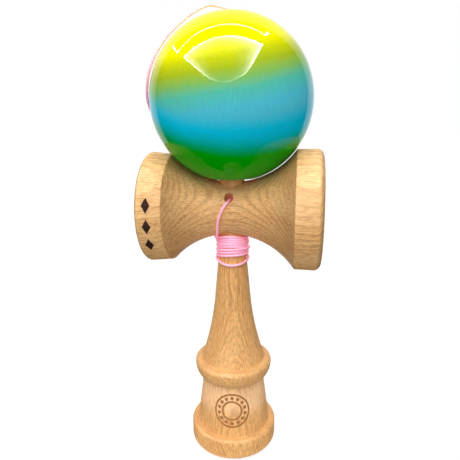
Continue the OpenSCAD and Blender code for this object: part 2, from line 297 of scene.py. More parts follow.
def beech(name, pale, grain, layers, ring, end_wood_shade_depth, finish, ornament=None, burnt=None, painted_sheen=None):
    """Turned beech, smoothed with sandpaper: short dark ray flecks along the grain, growth layers that crowd
    together where the turned form cuts steeply across them, fine fibres, end grain darkened partly as painted
    shade, and a satin skin.

    grain is the way along the fibres, and layers the way across the growth layers, which are ring millimetres
    wide. The number after ring is how much the end grain darkens, partly as painted shade, and the last
    argument is the height in millimetres round which painted light and sheen make the wood paler.
    """
    material, tree = new_material(name)
    place = add(tree, "TexCoord", out="Object")
    mm = add(tree, "VectorMath", {0: place, 1: PER_MM}, operation="MULTIPLY")
    across = Vector(grain).cross(Vector(layers))
    parts = [
        add(tree, "VectorMath", {0: mm, 1: way}, "Value", operation="DOT_PRODUCT")
        for way in (layers, across, grain)
    ]
    wood = add(tree, "CombineXYZ", dict(enumerate(parts)))

    # Growth layers round a heart 190 mm behind the piece, wavy over 20 mm, 4 mm and 1.3 mm
    heart = add(tree, "VectorMath", {0: wood, 1: (1, 1, 0), 2: (190, 24, 0)}, operation="MULTIPLY_ADD")
    radius = add(tree, "VectorMath", {0: heart}, "Value", operation="LENGTH")
    for spread, rise in (((20, 20, 80), 3.2), ((4, 4, 14), 0.6 * ring), ((1.3, 1.3, 2.6), 0.22 * ring)):
        wave_at = add(tree, "VectorMath", {0: wood, 1: spread}, operation="DIVIDE")
        wave = add(tree, "TexNoise", {"Vector": wave_at, "Scale": 1.0, "Detail": 1.0})
        radius = add(tree, "Math", {0: wave, 1: rise, 2: radius}, operation="MULTIPLY_ADD")
    layer_at = add(tree, "Math", {0: radius, 1: ring}, operation="DIVIDE")
    layer_share = add(tree, "Math", {0: layer_at}, operation="FRACT")
    # Each layer darkens slowly towards its late wood and ends sharply
    darkness = [(0, 0.0), (0.5, 0.12), (0.84, 1.0), (0.94, 0.7), (1, 0.0)]
    late = add(tree, "ValToRGB", {"Fac": layer_share}, stops=[(at, (s, s, s, 1)) for at, s in darkness])

    # Broad warmer patches, in which the growth layers show more
    patch_at = add(tree, "VectorMath", {0: wood, 1: (7, 7, 30)}, operation="DIVIDE")
    patch = add(tree, "TexNoise", {"Vector": patch_at, "Scale": 1.0, "Detail": 3.0})
    shown = add(tree, "MapRange", {0: patch, 1: 0.4, 2: 0.6, 3: 0.35})
    late = add(tree, "Math", {0: late, 1: shown}, operation="MULTIPLY")

    # Ray flecks, about 1.2 mm long, 0.2 mm wide and several millimetres deep into the wood
    ray_at = add(tree, "VectorMath", {0: wood, 1: (5, 0.38, 2.1)}, operation="DIVIDE")
    rays = add(tree, "TexVoronoi", {"Vector": ray_at, "Scale": 1.0}, None).outputs
    spindle = add(tree, "MapRange", {0: rays["Distance"], 1: 0.4, 2: 0.16}, interpolation_type="SMOOTHSTEP")
    lot = add(tree, "SeparateColor", {0: rays["Color"]})
    strength = add(tree, "MapRange", {0: lot, 1: 0.1})
    fleck = add(tree, "Math", {0: spindle, 1: strength}, operation="MULTIPLY")

    # Fibres 0.4 mm wide and 3 mm long, which is coarser than real ones so that they show
    fibre_at = add(tree, "VectorMath", {0: wood, 1: (0.4, 0.4, 3)}, operation="DIVIDE")
    fibre = add(tree, "TexNoise", {"Vector": fibre_at, "Scale": 1.0, "Detail": 3.0})

    # Each pattern, the range in which it shows, how much it colours the wood at most, and its colour
    tone = pale
    for share, low, high, most, shade in (
        (patch, 0.35, 0.75, 0.45, finish.warm),
        (late, 0.0, 1.0, 0.62, finish.layer),
        (fibre, 0.42, 0.68, 0.58, finish.layer),
        (fleck, 0.0, 1.0, 0.7, finish.fleck),
    ):
        amount = add(tree, "MapRange", {0: share, 1: low, 2: high, 4: most})
        tone = add(tree, "Mix", {0: amount, MIX_A: tone, MIX_B: shade}, MIX_OUT, data_type="RGBA")

    # Darker where the turned form cuts across the fibres: partly end grain taking up more of the finish,
    # partly painted shade
    facing = add(tree, "TexCoord", out="Normal")
    end_on = add(tree, "VectorMath", {0: facing, 1: grain}, "Value", operation="DOT_PRODUCT")
    end_on = add(tree, "Math", {0: end_on}, operation="ABSOLUTE")
    end_wood_shade = add(tree, "MapRange", {0: end_on, 1: 0.25, 2: 0.85, 4: end_wood_shade_depth}, interpolation_type="SMOOTHSTEP")
    tone = add(
        tree, "Mix", {0: end_wood_shade, MIX_A: tone, MIX_B: finish.end_wood_and_shade}, MIX_OUT,
        data_type="RGBA", blend_type="MULTIPLY",
    )
    if painted_sheen:
        # Painted light and sheen within 10 mm of that height, added to the wood's colour so that it is paler
        # there
        height = add(tree, "SeparateXYZ", {0: mm}, "Z")
        off = add(tree, "Math", {0: height, 1: painted_sheen}, operation="SUBTRACT")
        off = add(tree, "Math", {0: off}, operation="ABSOLUTE")
        paler = add(tree, "MapRange", {0: off, 1: 10.0, 2: 2.0}, interpolation_type="SMOOTHSTEP")
        tone = add(
            tree, "Mix", {0: paler, MIX_A: tone, MIX_B: finish.painted_sheen}, MIX_OUT,
            data_type="RGBA", blend_type="ADD",
        )
    relief = add(tree, "Math", {0: fleck, 1: -0.8, 2: fibre}, operation="MULTIPLY_ADD")
    rough = add(tree, "MapRange", {0: fibre, 1: 0.3, 2: 0.8, 3: 0.46, 4: 0.62})
    if ornament:
        # The hot stamp burns the wood, presses it in and leaves char, which is matt
        stamped = ornament(tree, mm)
        tone = add(tree, "Mix", {0: stamped, MIX_A: tone, MIX_B: burnt}, MIX_OUT, data_type="RGBA")
        relief = add(tree, "Math", {0: stamped, 1: -3.0, 2: relief}, operation="MULTIPLY_ADD")
        rough = add(tree, "Math", {0: stamped, 1: 0.4, 2: rough}, operation="MULTIPLY_ADD")
    bump = add(tree, "Bump", {"Height": relief, "Strength": 0.6, "Distance": 0.05 * MM})
    satin = {"Base Color": tone, "Roughness": rough, "Normal": bump, "IOR": 1.5, "Specular IOR Level": 0.36}
    add(tree, "OutputMaterial", {"Surface": add(tree, "BsdfPrincipled", satin)}, None)
    return material


def beaded_ring(tree, mm):
    """Mask of the ornament on the handle's cone: two plain rings with a row of round beads between them."""
    # Its place on the cone, and its radii, in millimetres
    facing, height, cone_r = math.radians(5.8), 20.6, 13.8
    outer, inner, bead_row, bead_r, line, beads = 7.0, 3.9, 5.45, 0.72, 0.36, 14
    x, y, z = add(tree, "SeparateXYZ", {0: mm}, None).outputs
    front = add(tree, "Math", {0: y, 1: -1.0}, operation="MULTIPLY")
    bearing = add(tree, "Math", {0: x, 1: front}, operation="ARCTAN2")
    along = add(tree, "Math", {0: bearing, 1: cone_r, 2: -facing * cone_r}, operation="MULTIPLY_ADD")
    up = add(tree, "Math", {0: z, 1: -height}, operation="ADD")
    flat = add(tree, "CombineXYZ", {0: along, 1: up})
    reach = add(tree, "VectorMath", {0: flat}, "Value", operation="LENGTH")
    turn = add(tree, "Math", {0: up, 1: along}, operation="ARCTAN2")
    step = add(tree, "Math", {0: turn, 1: beads / math.tau, 2: beads}, operation="MULTIPLY_ADD")
    share = add(tree, "Math", {0: step}, operation="FRACT")
    bead_step = math.tau * bead_row / beads
    beside = add(tree, "Math", {0: share, 1: bead_step, 2: -bead_step / 2}, operation="MULTIPLY_ADD")
    outward = add(tree, "Math", {0: reach, 1: -bead_row}, operation="ADD")
    from_bead = add(tree, "CombineXYZ", {0: outward, 1: beside})
    bead = add(tree, "VectorMath", {0: from_bead}, "Value", operation="LENGTH")
    edge = add(tree, "Math", {0: bead, 1: -bead_r}, operation="ADD")
    for ring in (outer, inner):
        off = add(tree, "Math", {0: reach, 1: -ring}, operation="ADD")
        gap = add(tree, "Math", {0: off}, operation="ABSOLUTE")
        side = add(tree, "Math", {0: gap, 1: -line}, operation="ADD")
        edge = add(tree, "Math", {0: edge, 1: side}, operation="MINIMUM")
    return scorched(tree, mm, edge)


def diamonds(tree, mm):
    """Mask of the ornament on the small cup's band: a column of three plain diamonds."""
    # Its place on the band, and half a diamond's height and width, in millimetres
    middle, step, band_r = math.radians(-9.2), math.radians(21.2), 21.2
    place, half_h, half_w = -28.1, 2.9, 1.6
    x, y, z = add(tree, "SeparateXYZ", {0: mm}, None).outputs
    front = add(tree, "Math", {0: y, 1: -1.0}, operation="MULTIPLY")
    up = add(tree, "Math", {0: z, 1: -CROSS_AXIS / MM}, operation="ADD")
    bearing = add(tree, "Math", {0: up, 1: front}, operation="ARCTAN2")
    steps = add(tree, "Math", {0: bearing, 1: 1 / step, 2: -middle / step}, operation="MULTIPLY_ADD")
    nearest = add(tree, "Math", {0: steps}, operation="ROUND")
    nearest = add(tree, "Clamp", {0: nearest, 1: -1.0, 2: 1.0})
    past = add(tree, "Math", {0: steps, 1: nearest}, operation="SUBTRACT")
    past = add(tree, "Math", {0: past}, operation="ABSOLUTE")
    slope = step * band_r * half_w / half_h
    tall = add(tree, "Math", {0: past, 1: slope, 2: -half_w}, operation="MULTIPLY_ADD")
    wide = add(tree, "Math", {0: x, 1: -place}, operation="ADD")
    wide = add(tree, "Math", {0: wide}, operation="ABSOLUTE")
    edge = add(tree, "Math", {0: tall, 1: wide}, operation="ADD")
    # Only the outside of the band, and not the cup's inside
    flat = add(tree, "CombineXYZ", {0: up, 1: front})
    reach = add(tree, "VectorMath", {0: flat}, "Value", operation="LENGTH")
    outside = add(tree, "Math", {0: reach, 1: 0.9 * band_r}, operation="GREATER_THAN")
    burn = scorched(tree, mm, edge)
    return add(tree, "Math", {0: burn, 1: outside}, operation="MULTIPLY")


def scorched(tree, mm, edge):
    """A mask that fades out over a quarter of a millimetre at an edge, roughened as a hot stamp leaves it."""
    grain = add(tree, "TexNoise", {"Vector": mm, "Scale": 1.6, "Detail": 2.0})
    ragged = add(tree, "Math", {0: grain, 1: 0.5, 2: edge}, operation="MULTIPLY_ADD")
    return add(tree, "MapRange", {0: ragged, 1: 0.4, 2: 0.12}, interpolation_type="SMOOTHSTEP")


def sprayed_lacquer(finish, centre):
    """Clear gloss lacquer over sprayed paint: three colours that fade into each other at a slight lean, with
    a soft drift of droplets at the fades and mirror-sharp reflections over them."""
    material, tree = new_material("sprayed paint under clear gloss lacquer")
    place = add(tree, "TexCoord", out="Object")
    away = add(tree, "VectorMath", {0: place, 1: centre}, operation="SUBTRACT")
    mm = add(tree, "VectorMath", {0: away, 1: PER_MM}, operation="MULTIPLY")
    # Clouds 11 mm across and droplets 0.45 mm across, which is coarser than real spray so that it shows
    cloud = add(tree, "TexNoise", {"Vector": mm, "Scale": 1 / 11, "Detail": 2.0})
    drops = add(tree, "TexNoise", {"Vector": mm, "Scale": 1 / 0.45, "Detail": 1.0})
    drift = add(tree, "Math", {0: drops, 1: 1.4, 2: -1.7}, operation="MULTIPLY_ADD")
    drift = add(tree, "Math", {0: cloud, 1: 2.0, 2: drift}, operation="MULTIPLY_ADD")
    # The ways along which yellow, green and blue fade, and a point's place along each, in millimetres
    leans = ((-0.151, -0.148, 0.977), (0.1, -0.32, 0.942), (0.054, -0.355, 0.933))
    levels = []
    for lean in leans:
        level = add(tree, "VectorMath", {0: mm, 1: lean}, "Value", operation="DOT_PRODUCT")
        levels.append(add(tree, "Math", {0: level, 1: drift}, operation="ADD"))
    yellow_at, green_at, blue_at = levels
    # From 10 mm below the ball's middle to 20 mm above it
    share = add(tree, "MapRange", {0: yellow_at, 1: -10.0, 2: 20.0})
    fade = [
        (0.34, linear("52C6DC")),
        (0.52, linear("58C4AC")),
        (0.63, linear("84C060")),
        (0.74, linear("A8BE24")),
        (0.85, linear("CBD312")),
        (0.96, finish.top_paint),
    ]
    paint = add(tree, "ValToRGB", {"Fac": share}, stops=fade)
    # The blue is full at the ball's middle, and the green 10 mm below it
    for level, none, full, shade in (
        (blue_at, 6.2, 0.0, finish.middle_paint),
        (green_at, -0.8, -10.3, finish.low_paint),
    ):
        amount = add(tree, "MapRange", {0: level, 1: none, 2: full}, interpolation_type="SMOOTHSTEP")
        paint = add(tree, "Mix", {0: amount, MIX_A: paint, MIX_B: shade}, MIX_OUT, data_type="RGBA")
    # Grain of the wooden ball, 0.5 mm wide and 5 mm long, which is coarser than real grain so that it shows
    grain_at = add(tree, "VectorMath", {0: mm, 1: (0.5, 0.5, 5)}, operation="DIVIDE")
    grain = add(tree, "TexNoise", {"Vector": grain_at, "Scale": 1.0, "Detail": 3.0})
    through = add(tree, "MapRange", {0: grain, 1: 0.4, 2: 0.75, 4: 0.15})
    paint = add(
        tree, "Mix", {0: through, MIX_A: paint, MIX_B: linear("A8B4B4")}, MIX_OUT,
        data_type="RGBA", blend_type="MULTIPLY",
    )
    gloss = {"Base Color": paint, "Roughness": 0.035, "IOR": 1.5, "Specular IOR Level": 0.12}
    add(tree, "OutputMaterial", {"Surface": add(tree, "BsdfPrincipled", gloss)}, None)
    return material


def braided_cord(finish, sizes):
    """Fine braided cord: crossing yarns with a bright sheen, pale on their crowns partly as painted
    highlight, and a deeper pink painted as shade between them.
    A faint pink glow, which is painted light, keeps the cord bright in the shade."""
    material, tree = new_material("braided polyester cord")
    # The mesh's map runs once round the string, and along it in millimetres
    turn, run, _ = add(tree, "SeparateXYZ", {0: add(tree, "UVMap")}, None).outputs
    ways = []
    for hand in (1, -1):
        slant = add(tree, "Math", {0: run, 1: hand * math.tau * MM / sizes.yarn_pitch}, operation="MULTIPLY")
        phase = add(tree, "Math", {0: turn, 1: YARNS * math.tau, 2: slant}, operation="MULTIPLY_ADD")
        ways.append(add(tree, "Math", {0: phase}, operation="SINE"))
    crown = add(tree, "Math", dict(enumerate(ways)), operation="MULTIPLY")
    # Deep pink between the crossing yarns is painted shade, and the pale crowns are partly painted highlight
    crease_shade_share = add(tree, "MapRange", {0: crown, 1: 0.1, 2: -0.9, 4: 0.7})
    pinks = {0: crease_shade_share, MIX_A: finish.cord, MIX_B: finish.cord_crease_shade}
    pink = add(tree, "Mix", pinks, MIX_OUT, data_type="RGBA")
    yarn = {
        "Base Color": pink, "Roughness": 0.28, "Specular IOR Level": 1.0,
        "Sheen Weight": 0.1, "Sheen Roughness": 0.4, "Sheen Tint": linear("FFD0E0"),
        # A faint pink glow: painted light that keeps the cord bright where the cross piece shades it
        "Emission Color": linear("FF2E78"), "Emission Strength": 0.2,
    }
    add(tree, "OutputMaterial", {"Surface": add(tree, "BsdfPrincipled", yarn)}, None)
    return material


def moulded_bead(finish):
    """Moulded bead with a satin skin, a little cloudy inside."""
    material, tree = new_material("moulded satin bead")
    place = add(tree, "TexCoord", out="Object")
    # Clouds about 1.7 mm across
    cloud = add(tree, "TexNoise", {"Vector": place, "Scale": 0.6 / MM, "Detail": 2.0})
    rough = add(tree, "MapRange", {0: cloud, 1: 0.3, 2: 0.7, 3: 0.3, 4: 0.45})
    shades = {0: cloud, MIX_A: finish.bead, MIX_B: linear("D8CCB0")}
    shade = add(tree, "Mix", shades, MIX_OUT, data_type="RGBA")
    satin = {"Base Color": shade, "Roughness": rough, "IOR": 1.49}
    add(tree, "OutputMaterial", {"Surface": add(tree, "BsdfPrincipled", satin)}, None)
    return material


def arc(centre, radii, start, stop, steps):
    """Points on an ellipse from one angle to another, in degrees."""
    angles = [math.radians(start + (stop - start) * i / steps) for i in range(steps + 1)]
    return [Vector((centre[0] + radii[0] * math.cos(a), centre[1] + radii[1] * math.sin(a))) for a in angles]


def dish(mouth_r, depth, floor, steps=24):
    """Outline of a hollow cut by a ball, from its middle to its mouth.

    floor is the height of the mouth, from which depth goes up, or down where it is negative.
    """
    ball_r = (mouth_r**2 + depth**2) / (2 * abs(depth))
    way = math.copysign(1, depth)
    half = math.degrees(math.asin(mouth_r / ball_r))
    points = arc((0, 0), (ball_r, ball_r), 90, 90 - half, steps)
    return [Vector((p.x, floor + depth + way * (p.y - ball_r))) for p in points]


def eased(outline, reach):
    """The outline with its sharp corners rounded off, as sanding leaves them."""
    # The largest share of a stretch that is rounded off at one end
    most = 0.45
    soft = [outline[0]]
    for before, corner, after in zip(outline, outline[1:], outline[2:]):
        back, on = before - corner, after - corner
        if math.pi - back.angle(on) < CREASE:
            soft.append(corner)
            continue
        start = corner + back.normalized() * min(reach, back.length * most)
        stop = corner + on.normalized() * min(reach, on.length * most)
        for t in (0, 0.2, 0.4, 0.6, 0.8, 1):
            soft.append((1 - t) ** 2 * start + 2 * t * (1 - t) * corner + t * t * stop)
    return soft + [outline[-1]]


def divided(outline, longest=2.5 * MM):
    """The outline with its long straight stretches divided."""
    points = [outline[0]]
    for a, b in zip(outline, outline[1:]):
        pieces = max(1, math.ceil((b - a).length / longest))
        points += [a.lerp(b, i / pieces) for i in range(1, pieces + 1)]
    return points


def new_piece(name, mesh, *materials):
    """A piece of the object, with smooth shading and creases at its sharp edges."""
    piece = bpy.data.objects.new(name, mesh)
    bpy.context.scene.collection.objects.link(piece)
    for material in materials:
        mesh.materials.append(material)
    mesh.shade_smooth()
    mesh.set_sharp_from_angle(angle=CREASE)
    return piece


def turned(name, outline, place=None, sides=192):
    """A mesh turned about Z from an outline of (radius, height). Off the axis, its ends are joined."""
    shape = bmesh.new()
    rings = []
    for radius, height in outline:
        if radius < TINY:
            rings.append([shape.verts.new((0, 0, height))] * sides)
            continue
        angles = [math.tau * i / sides for i in range(sides)]
        rings.append([shape.verts.new((radius * math.cos(a), radius * math.sin(a), height)) for a in angles])
    if outline[0][0] >= TINY:
        rings.append(rings[0])
    for low, high in zip(rings, rings[1:]):
        for i in range(sides):
            k = (i + 1) % sides
            corners = dict.fromkeys((low[i], low[k], high[k], high[i]))
            shape.faces.new(corners)
    bmesh.ops.recalc_face_normals(shape, faces=shape.faces)
    if place:
        shape.transform(place)
    mesh = bpy.data.meshes.new(name)
    shape.to_mesh(mesh)
    shape.free()
    return mesh


def drilled(mesh, cutter):
    """The mesh with the cutter's shape taken out."""
    work = bpy.data.objects.new("blank", mesh)
    tool = bpy.data.objects.new("drill", cutter)
    for o in (work, tool):
        bpy.context.scene.collection.objects.link(o)
    cut = work.modifiers.new("drill", "BOOLEAN")
    cut.operation = "DIFFERENCE"
    cut.solver = "EXACT"
    cut.object = tool
    bpy.context.view_layer.update()
    made = bpy.data.meshes.new_from_object(work.evaluated_get(bpy.context.evaluated_depsgraph_get()))
    made.name = mesh.name
    for o in (work, tool):
        bpy.data.objects.remove(o)
    return made


def rod(radii, length, place, sides=64):
    """A closed cone or cylinder along Z from the origin, put in its place."""
    outline = [(0, 0), (radii[0], 0), (radii[1], length), (0, length)]
    return turned("rod", outline, place, sides)


class KENDAMA_OT_stage(bpy.types.Operator):
    """Makes the camera, the pale floor and the studio light"""

    bl_idname = "kendama.stage"
    bl_label = "Stage"

    def execute(self, context):
        scene, stage = context.scene, context.scene.kendama_stage
        camera = bpy.data.objects.new("camera", bpy.data.cameras.new("camera"))
        camera.data.lens = stage.lens
        camera.data.sensor_width = 36
        camera.data.clip_start = 10 * MM
        camera.matrix_world = (
            Matrix.Translation(stage.camera_place)
            @ Matrix.Rotation(stage.camera_turn, 4, "Z")
            @ Matrix.Rotation(math.pi / 2 - stage.camera_pitch, 4, "X")
            @ Matrix.Rotation(-stage.camera_roll, 4, "Z")
        )
        scene.collection.objects.link(camera)
        scene.camera = camera
        scene.view_settings.view_transform = "Standard"
        self.world(scene, stage)
        self.floor(scene)
        self.lamp(scene, "key lamp", place=(-0.06, -0.46, 0.75), side=0.45, power=stage.key_power)
        self.lamp(scene, "fill lamp", place=(-0.02, -0.95, 0.12), side=0.5, power=stage.fill_power)
        self.lamp(scene, "back lamp", place=(0.1, 0.85, 0.3), side=0.5, power=stage.back_power)
        self.strip_lights(scene, stage)
        self.dark_cloth(scene, stage)
        return {"FINISHED"}

    def seen(self, tree):
        """1 for what the camera sees directly, in a reflection or through glass, and 0 for diffuse light."""
        path = add(tree, "LightPath", out=None).outputs
        seen = path["Is Camera Ray"]
        for ray in ("Is Glossy Ray", "Is Transmission Ray"):
            seen = add(tree, "Math", {0: seen, 1: path[ray]}, operation="MAXIMUM")
        return seen

    def world(self, scene, stage):
        """A white surround that lights the object more from above and in front than from below and behind."""
        scene.world = bpy.data.worlds.new("white surround")
        scene.world.use_nodes = True
        tree = scene.world.node_tree
        tree.nodes.clear()
        brightest = (0, -0.5, 0.87)
        way = add(tree, "TexCoord", out="Generated")
        toward = add(tree, "VectorMath", {0: way, 1: brightest}, "Value", operation="DOT_PRODUCT")
        soft = add(tree, "MapRange", {0: toward, 1: -0.2, 3: stage.ambient_low, 4: stage.ambient_high})
        strength = add(tree, "MapRange", {0: self.seen(tree), 3: soft})
        light = add(tree, "Background", {"Color": (1, 1, 1, 1), "Strength": strength})
        add(tree, "OutputWorld", {"Surface": light}, None)

    def floor(self, scene):
        """A pale floor that keeps the object's shadow and turns white away from it."""
        reach, sunk = 3.0, 0.05 * MM
        mesh = bpy.data.meshes.new("floor")
        corners = [(-reach, -reach, 0), (reach, -reach, 0), (reach, reach, 0), (-reach, reach, 0)]
        mesh.from_pydata(corners, [], [(0, 1, 2, 3)])
        floor = bpy.data.objects.new("floor", mesh)
        floor.location.z = -sunk
        scene.collection.objects.link(floor)
        material, tree = new_material("pale studio floor")
        place = add(tree, "TexCoord", out="Object")
        away = add(tree, "VectorMath", {0: place}, "Value", operation="LENGTH")
        # What is seen: the floor glows white from 120 mm on, and takes more of the shadow the closer it is
        white = add(tree, "MapRange", {0: away, 1: 0.02, 2: 0.12, 3: 0.7}, interpolation_type="SMOOTHSTEP")
        lit = add(tree, "Math", {0: 1.06, 1: white}, operation="SUBTRACT")
        matt = add(tree, "BsdfDiffuse", {"Color": lit})
        glow = add(tree, "Emission", {"Strength": white})
        both = add(tree, "AddShader", {0: matt, 1: glow})
        # What bounces off the floor onto the object
        bounce = add(tree, "MapRange", {0: away, 1: 0.03, 2: 0.09, 3: 0.75, 4: 0.3})
        plain = add(tree, "BsdfDiffuse", {"Color": bounce})
        skin = add(tree, "MixShader", {0: self.seen(tree), 1: plain, 2: both})
        add(tree, "OutputMaterial", {"Surface": skin}, None)
        mesh.materials.append(material)

    def lamp(self, scene, name, place, side, power):
        """A large soft lamp aimed at the object, which shows in no reflection."""
        lamp = bpy.data.objects.new(name, bpy.data.lights.new(name, "AREA"))
        lamp.data.shape = "SQUARE"
        lamp.data.size = side
        lamp.data.energy = power
        lamp.location = place
        aim = Vector((0, 0, 0.1))
        lamp.rotation_euler = (aim - lamp.location).to_track_quat("-Z", "Y").to_euler()
        lamp.visible_camera = False
        lamp.visible_glossy = False
        scene.collection.objects.link(lamp)

    def strip_lights(self, scene, stage):
        """A panel lit at its edges and a bent strip overhead, which the lacquer mirrors as bright lines."""
        # Metres above the ball, and the strip's width
        above, width = 0.5, 0.022
        # Places round the panel's edge and along the strip, in metres, and how strongly each glows
        edge = [
            (-0.57, -0.13, 0.8), (-0.13, -0.09, 0.4), (0.31, -0.045, 1), (0.39, -0.43, 0.95),
            (0.43, -0.82, 0.5), (0.25, -1.25, 0.2), (-0.1, -1.45, 0.12), (-0.435, -1.065, 0.5),
            (-0.52, -0.6, 0.95),
        ]
        strip = [
            (-0.6, 0.35, 0.8), (-0.6, 0.06, 0.8), (-0.52, 0.07, 0.2),
            (0.25, 0.12, 0.2), (0.26, 0.15, 0.9), (0.255, 0.22, 0.9),
        ]
        # The panel's light falls off from its edge (0) towards its middle (1)
        middle = Vector((-0.05, -0.6, 0))
        fall = [(0, 1), (0.05, 0.45), (0.12, 0.2), (0.3, 0.05), (0.6, 0)]
        places, levels, faces = [], [], []
        for share, level in fall:
            for x, y, glow in edge:
                places.append(Vector((x, y, 0)).lerp(middle, share))
                levels.append(glow * level)
        count = len(edge)
        for ring in range(len(fall) - 1):
            near, far = ring * count, (ring + 1) * count
            for i in range(count):
                k = (i + 1) % count
                faces.append([near + i, near + k, far + k, far + i])
        for a, b in zip(strip, strip[1:]):
            start, stop = Vector((a[0], a[1], 0)), Vector((b[0], b[1], 0))
            aside = (stop - start).cross(Vector((0, 0, 1))).normalized() * width / 2
            faces.append([len(places) + i for i in range(4)])
            places += [start - aside, start + aside, stop + aside, stop - aside]
            levels += [a[2], a[2], b[2], b[2]]
        mesh = bpy.data.meshes.new("strip lights")
        mesh.from_pydata([(p.x, p.y, BALL_CENTRE.z + above) for p in places], [], faces)
        self.only_reflected(scene, "strip_lights", mesh, [stage.strip_strength * level for level in levels])

    def dark_cloth(self, scene, stage):
        """Dark cloth all round and on the floor, with a pale screen behind, so that the lacquer is pale only
        at its rim."""
        # Metres to the hung cloth, and the height of the laid cloth over the floor
        reach, laid = 2.0, 2 * MM
        # Half the screen's width, how much taller it is and its soft edge, in degrees seen from the ball
        screen, taller, soft = 55, 15, 5
        # How brightly the screen glows, and how much less at its top
        glow, less = 1.15, 0.3
        columns, rows = 64, 90
        facing = Matrix.Rotation(stage.camera_turn, 3, "Z")
        shape = bmesh.new()
        grid, levels = [], []
        for i in range(columns):
            way = math.tau * i / columns
            upward = max(0, math.sin(way))
            rim = screen + taller * upward**3
            pale = glow - less * upward**2
            line = []
            for k in range(rows):
                tilt = TINY + (math.pi - 2 * TINY) * k / (rows - 1)
                aside = math.sin(tilt)
                out = facing @ Vector((math.cos(way) * aside, math.cos(tilt), math.sin(way) * aside))
                far = min(reach, (BALL_CENTRE.z - laid) / max(TINY, -out.z))
                line.append(shape.verts.new(BALL_CENTRE + far * out))
                levels.append(pale * min(1, max(0, (rim - math.degrees(tilt)) / soft + 0.5)))
            grid.append(line)
        for a, b in zip(grid, grid[1:] + grid[:1]):
            for k in range(rows - 1):
                shape.faces.new((a[k], b[k], b[k + 1], a[k + 1]))
        mesh = bpy.data.meshes.new("dark cloth")
        shape.to_mesh(mesh)
        shape.free()
        self.only_reflected(scene, "dark_cloth", mesh, levels)

    def only_reflected(self, scene, name, mesh, levels):
        """Puts a glowing stage piece in the scene that shows in reflections alone and throws no shadow."""
        mesh.attributes.new("glow", "FLOAT", "POINT").data.foreach_set("value", levels)
        material, tree = new_material(name.replace("_", " "))
        level = add(tree, "Attribute", out="Fac", attribute_name="glow")
        add(tree, "OutputMaterial", {"Surface": add(tree, "Emission", {"Strength": level})}, None)
        mesh.materials.append(material)
        piece = bpy.data.objects.new(name, mesh)
        piece.visible_camera = False
        piece.visible_diffuse = False
        piece.visible_transmission = False
        piece.visible_shadow = False
        scene.collection.objects.link(piece)


class KENDAMA_OT_handle(bpy.types.Operator):
    """Turns the handle, from the base cup to the spike"""

    bl_idname = "kendama.handle"
    bl_label = "Handle"

    def execute(self, context):
        s, finish = context.scene.kendama_handle, context.scene.kendama_finish
        base_r, cone_r, collar_r, neck_r = s.base_d / 2, s.cone_top_d / 2, s.collar_d / 2, s.neck_d / 2
        shelf_r = base_r - s.band_round - s.shelf_w
        flare_top_r = neck_r + (s.neck_h - s.flare_top_h) * math.tan(s.taper)
        centre_r = flare_top_r + s.flare_r * math.cos(s.taper)
        centre_h = s.flare_top_h + s.flare_r * math.sin(s.taper)
        low_angle = 180 + math.degrees(math.asin((centre_h - s.collar_top_h) / s.flare_r))
        flare = arc((centre_r, centre_h), (s.flare_r, s.flare_r), low_angle, 180 + math.degrees(s.taper), 40)
        collar_top_r = flare[0].x
        collar_top_radii = (collar_r - collar_top_r, s.collar_top_h - s.collar_h)
        tip_r = s.tip_d / 2 - s.tip_round
        outline = [
            *dish(base_r - s.base_round - s.base_lip, s.base_depth, 0),
            *arc((base_r - s.base_round, s.base_round), (s.base_round,) * 2, -90, 0, 12),
            *arc((base_r - s.band_round, s.band_h - s.band_round), (s.band_round,) * 2, 0, 90, 10),
            Vector((shelf_r, s.band_h)),
            *arc((cone_r, s.collar_h), (collar_r - cone_r, s.collar_h - s.cone_top_h), -90, 0, 24),
            # From 7.5 degrees on, because the curve below it ends at 0
            *arc((collar_top_r, s.collar_h), collar_top_radii, 7.5, 90, 12),
            *flare[1:],
            Vector((neck_r, s.neck_h)),
            Vector((neck_r, s.seat_h)),
            Vector((s.spike_root_d / 2, s.spike_root_h)),
            *arc((tip_r, TIP - s.tip_round), (s.tip_round,) * 2, 0, 90, 10),
            Vector((0, TIP)),
        ]
        outline[0].x = 0
        mesh = turned("ken_turned", divided(eased(outline, reach=0.35 * MM)))
        bore = Matrix.Translation((0, neck_r, s.cross_bore_h)) @ Matrix.Rotation(math.pi / 2, 4, "X")
        mesh = drilled(mesh, rod((s.cross_bore_d / 2,) * 2, s.neck_d, bore, sides=32))
        # The cone is made paler round 25 mm up by painted light and sheen
        wood = beech(
            "turned beech, handle", finish.handle_pale, grain=(0, 0, 1), layers=(0.1, -0.99, 0.094),
            ring=0.65, end_wood_shade_depth=0.3, finish=finish, ornament=beaded_ring, burnt=finish.burnt, painted_sheen=25.0,
        )
        handle = new_piece("ken_turned", mesh, wood)
        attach(handle, "handle")
        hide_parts("ken_handle")
        return {"FINISHED"}


